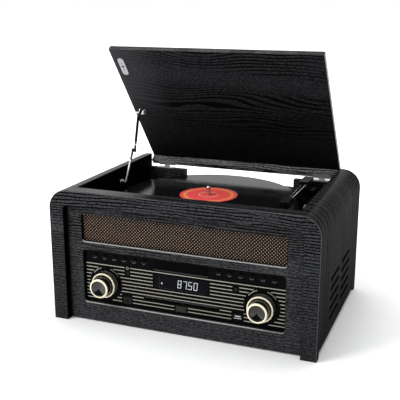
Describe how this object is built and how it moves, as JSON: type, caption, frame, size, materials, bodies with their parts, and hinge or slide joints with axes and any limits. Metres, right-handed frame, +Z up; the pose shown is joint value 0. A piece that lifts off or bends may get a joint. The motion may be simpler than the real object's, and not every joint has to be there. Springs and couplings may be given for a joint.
{
  "type": "record player",
  "caption": "Table-top record player in a black wooden arch cabinet with an opening lid on a folding stay, a tonearm, a disc slot, a display, buttons and knobs.",
  "frame": {"origin": "on the floor, under the middle of the bounding box with the lid open", "axes": "+X to the right seen from the front, +Y to the back, +Z up"},
  "size_m": [0.44, 0.3383, 0.4339],
  "materials": {
    "black_wood": "satin open-grain stain",
    "fibreboard": "painted matt",
    "grille_cloth": "woven",
    "gloss_black": "polished",
    "display_glass": "polished",
    "dark_chrome": "smoked",
    "chrome": "polished",
    "steel": "brushed",
    "black_metal": "satin",
    "vinyl": "grooved",
    "rubber": "matt",
    "aluminium": "turned",
    "black_plastic": "fine texture",
    "circuit": "lacquered",
    "brass": "turned"
  },
  "bodies": {
    "cabinet": {"amplifier_board": "circuit", "arm_rest": "black_plastic", "aux_socket": "black_plastic", "bottom_panel": "fibreboard", "cabinet_arch": "black_wood", "cd_mechanism": "steel", "control_board": "circuit", "control_fascia": "gloss_black", "drive_belt": "rubber", "drive_motor": "steel", "front_baffle": "black_wood", "hinge_leaves_fixed": "chrome", "hinge_pins": "steel", "lcd_module": "black_plastic", "lcd_window": "display_glass", "lid_catch": "chrome", "platter_bearing": "brass", "power_inlet": "black_plastic", "rear_panel": "black_wood", "side_cleats": "black_wood", "speaker_grille": "grille_cloth", "speakers": "black_metal", "stay_bracket_lower": "chrome", "tonearm_base": "black_plastic", "turntable_deck": "black_plastic", "usb_socket": "steel"},
    "lid": {"lid_panel": "black_wood", "lid_batten": "black_wood", "lid_plate": "chrome", "hinge_leaves_lid": "chrome", "stay_bracket_upper": "chrome"},
    "stay_lower": {"stay_lower_arm": "chrome"},
    "stay_upper": {"stay_upper_arm": "black_metal"},
    "platter": {"platter": "aluminium", "slip_mat": "rubber", "record": "vinyl", "spindle": "steel"},
    "pulley": {"motor_pulley": "brass"},
    "arm_yoke": {"tonearm_yoke": "black_plastic"},
    "arm": {"tonearm_tube": "black_plastic", "headshell": "black_plastic", "cartridge": "black_plastic"},
    "cue_lever": {"cue_lever": "black_plastic"},
    "speed_switch": {"speed_switch": "black_plastic"},
    "volume": {"volume_knob": "gloss_black", "volume_shaft": "steel"},
    "tuning": {"tuning_knob": "gloss_black", "tuning_shaft": "steel"},
    "left_button_1": {"left_button_1": "dark_chrome"},
    "left_button_2": {"left_button_2": "dark_chrome"},
    "left_button_3": {"left_button_3": "dark_chrome"},
    "left_button_4": {"left_button_4": "dark_chrome"},
    "left_button_5": {"left_button_5": "dark_chrome"},
    "left_button_6": {"left_button_6": "dark_chrome"},
    "right_button_1": {"right_button_1": "dark_chrome"},
    "right_button_2": {"right_button_2": "dark_chrome"},
    "right_button_3": {"right_button_3": "dark_chrome"},
    "right_button_4": {"right_button_4": "dark_chrome"},
    "right_button_5": {"right_button_5": "dark_chrome"},
    "right_button_6": {"right_button_6": "dark_chrome"}
  },
  "joints": [
    {"name": "lid_hinge", "type": "hinge", "parent": "cabinet", "child": "lid", "pos_m": [0, 0.15365, 0.19695], "axis": [1, 0, 0], "range_deg": [0, 51]},
    {"name": "stay_lower_hinge", "type": "hinge", "parent": "cabinet", "child": "stay_lower", "pos_m": [-0.178, 0.02575, 0.1932], "axis": [1, 0, 0], "range_deg": [-47.4, 0]},
    {"name": "stay_upper_hinge", "type": "hinge", "parent": "lid", "child": "stay_upper", "pos_m": [-0.1738, 0.07416, 0.31028], "axis": [1, 0, 0], "range_deg": [0, 55.3]},
    {"name": "platter_spin", "type": "hinge", "parent": "cabinet", "child": "platter", "pos_m": [-0.0155, 0.01815, 0.1824], "axis": [0, 0, 1], "continuous": true},
    {"name": "pulley_spin", "type": "hinge", "parent": "cabinet", "child": "pulley", "pos_m": [-0.08825, 0.06014, 0.171], "axis": [0, 0, 1], "continuous": true},
    {"name": "tonearm_swing", "type": "hinge", "parent": "cabinet", "child": "arm_yoke", "pos_m": [0.1335, 0.11714, 0.198], "axis": [0, 0, -1], "range_deg": [0, 40]},
    {"name": "tonearm_lift", "type": "hinge", "parent": "arm_yoke", "child": "arm", "pos_m": [0.1335, 0.11714, 0.198], "axis": [-1, 0, 0], "range_deg": [0, 2.8]},
    {"name": "cue_lever_turn", "type": "hinge", "parent": "cabinet", "child": "cue_lever", "pos_m": [0.148, 0.05715, 0.168], "axis": [0, 0, 1], "range_deg": [0, 60]},
    {"name": "speed_switch_turn", "type": "hinge", "parent": "cabinet", "child": "speed_switch", "pos_m": [0.153, 0.00515, 0.168], "axis": [0, 0, 1], "range_deg": [-25, 25]},
    {"name": "volume_turn", "type": "hinge", "parent": "cabinet", "child": "volume", "pos_m": [-0.1308, -0.14305, 0.0665], "axis": [0, -1, 0], "range_deg": [-150, 150]},
    {"name": "tuning_turn", "type": "hinge", "parent": "cabinet", "child": "tuning", "pos_m": [0.1308, -0.14305, 0.0665], "axis": [0, -1, 0], "continuous": true},
    {"name": "left_button_1_push", "type": "slide", "parent": "cabinet", "child": "left_button_1", "axis": [0, 1, 0], "range_m": [0, 0.0012], "stiffness_N_per_m": 400, "springref_m": -0.0015},
    {"name": "left_button_2_push", "type": "slide", "parent": "cabinet", "child": "left_button_2", "axis": [0, 1, 0], "range_m": [0, 0.0012], "stiffness_N_per_m": 400, "springref_m": -0.0015},
    {"name": "left_button_3_push", "type": "slide", "parent": "cabinet", "child": "left_button_3", "axis": [0, 1, 0], "range_m": [0, 0.0012], "stiffness_N_per_m": 400, "springref_m": -0.0015},
    {"name": "left_button_4_push", "type": "slide", "parent": "cabinet", "child": "left_button_4", "axis": [0, 1, 0], "range_m": [0, 0.0012], "stiffness_N_per_m": 400, "springref_m": -0.0015},
    {"name": "left_button_5_push", "type": "slide", "parent": "cabinet", "child": "left_button_5", "axis": [0, 1, 0], "range_m": [0, 0.0012], "stiffness_N_per_m": 400, "springref_m": -0.0015},
    {"name": "left_button_6_push", "type": "slide", "parent": "cabinet", "child": "left_button_6", "axis": [0, 1, 0], "range_m": [0, 0.0012], "stiffness_N_per_m": 400, "springref_m": -0.0015},
    {"name": "right_button_1_push", "type": "slide", "parent": "cabinet", "child": "right_button_1", "axis": [0, 1, 0], "range_m": [0, 0.0012], "stiffness_N_per_m": 400, "springref_m": -0.0015},
    {"name": "right_button_2_push", "type": "slide", "parent": "cabinet", "child": "right_button_2", "axis": [0, 1, 0], "range_m": [0, 0.0012], "stiffness_N_per_m": 400, "springref_m": -0.0015},
    {"name": "right_button_3_push", "type": "slide", "parent": "cabinet", "child": "right_button_3", "axis": [0, 1, 0], "range_m": [0, 0.0012], "stiffness_N_per_m": 400, "springref_m": -0.0015},
    {"name": "right_button_4_push", "type": "slide", "parent": "cabinet", "child": "right_button_4", "axis": [0, 1, 0], "range_m": [0, 0.0012], "stiffness_N_per_m": 400, "springref_m": -0.0015},
    {"name": "right_button_5_push", "type": "slide", "parent": "cabinet", "child": "right_button_5", "axis": [0, 1, 0], "range_m": [0, 0.0012], "stiffness_N_per_m": 400, "springref_m": -0.0015},
    {"name": "right_button_6_push", "type": "slide", "parent": "cabinet", "child": "right_button_6", "axis": [0, 1, 0], "range_m": [0, 0.0012], "stiffness_N_per_m": 400, "springref_m": -0.0015}
  ],
  "couplings": [
    {"joint": "stay_lower_hinge", "follows": "lid_hinge", "ratio": -0.9193},
    {"joint": "stay_upper_hinge", "follows": "lid_hinge", "ratio": 1.0745},
    {"joint": "pulley_spin", "follows": "platter_spin", "ratio": 16.333}
  ]
}
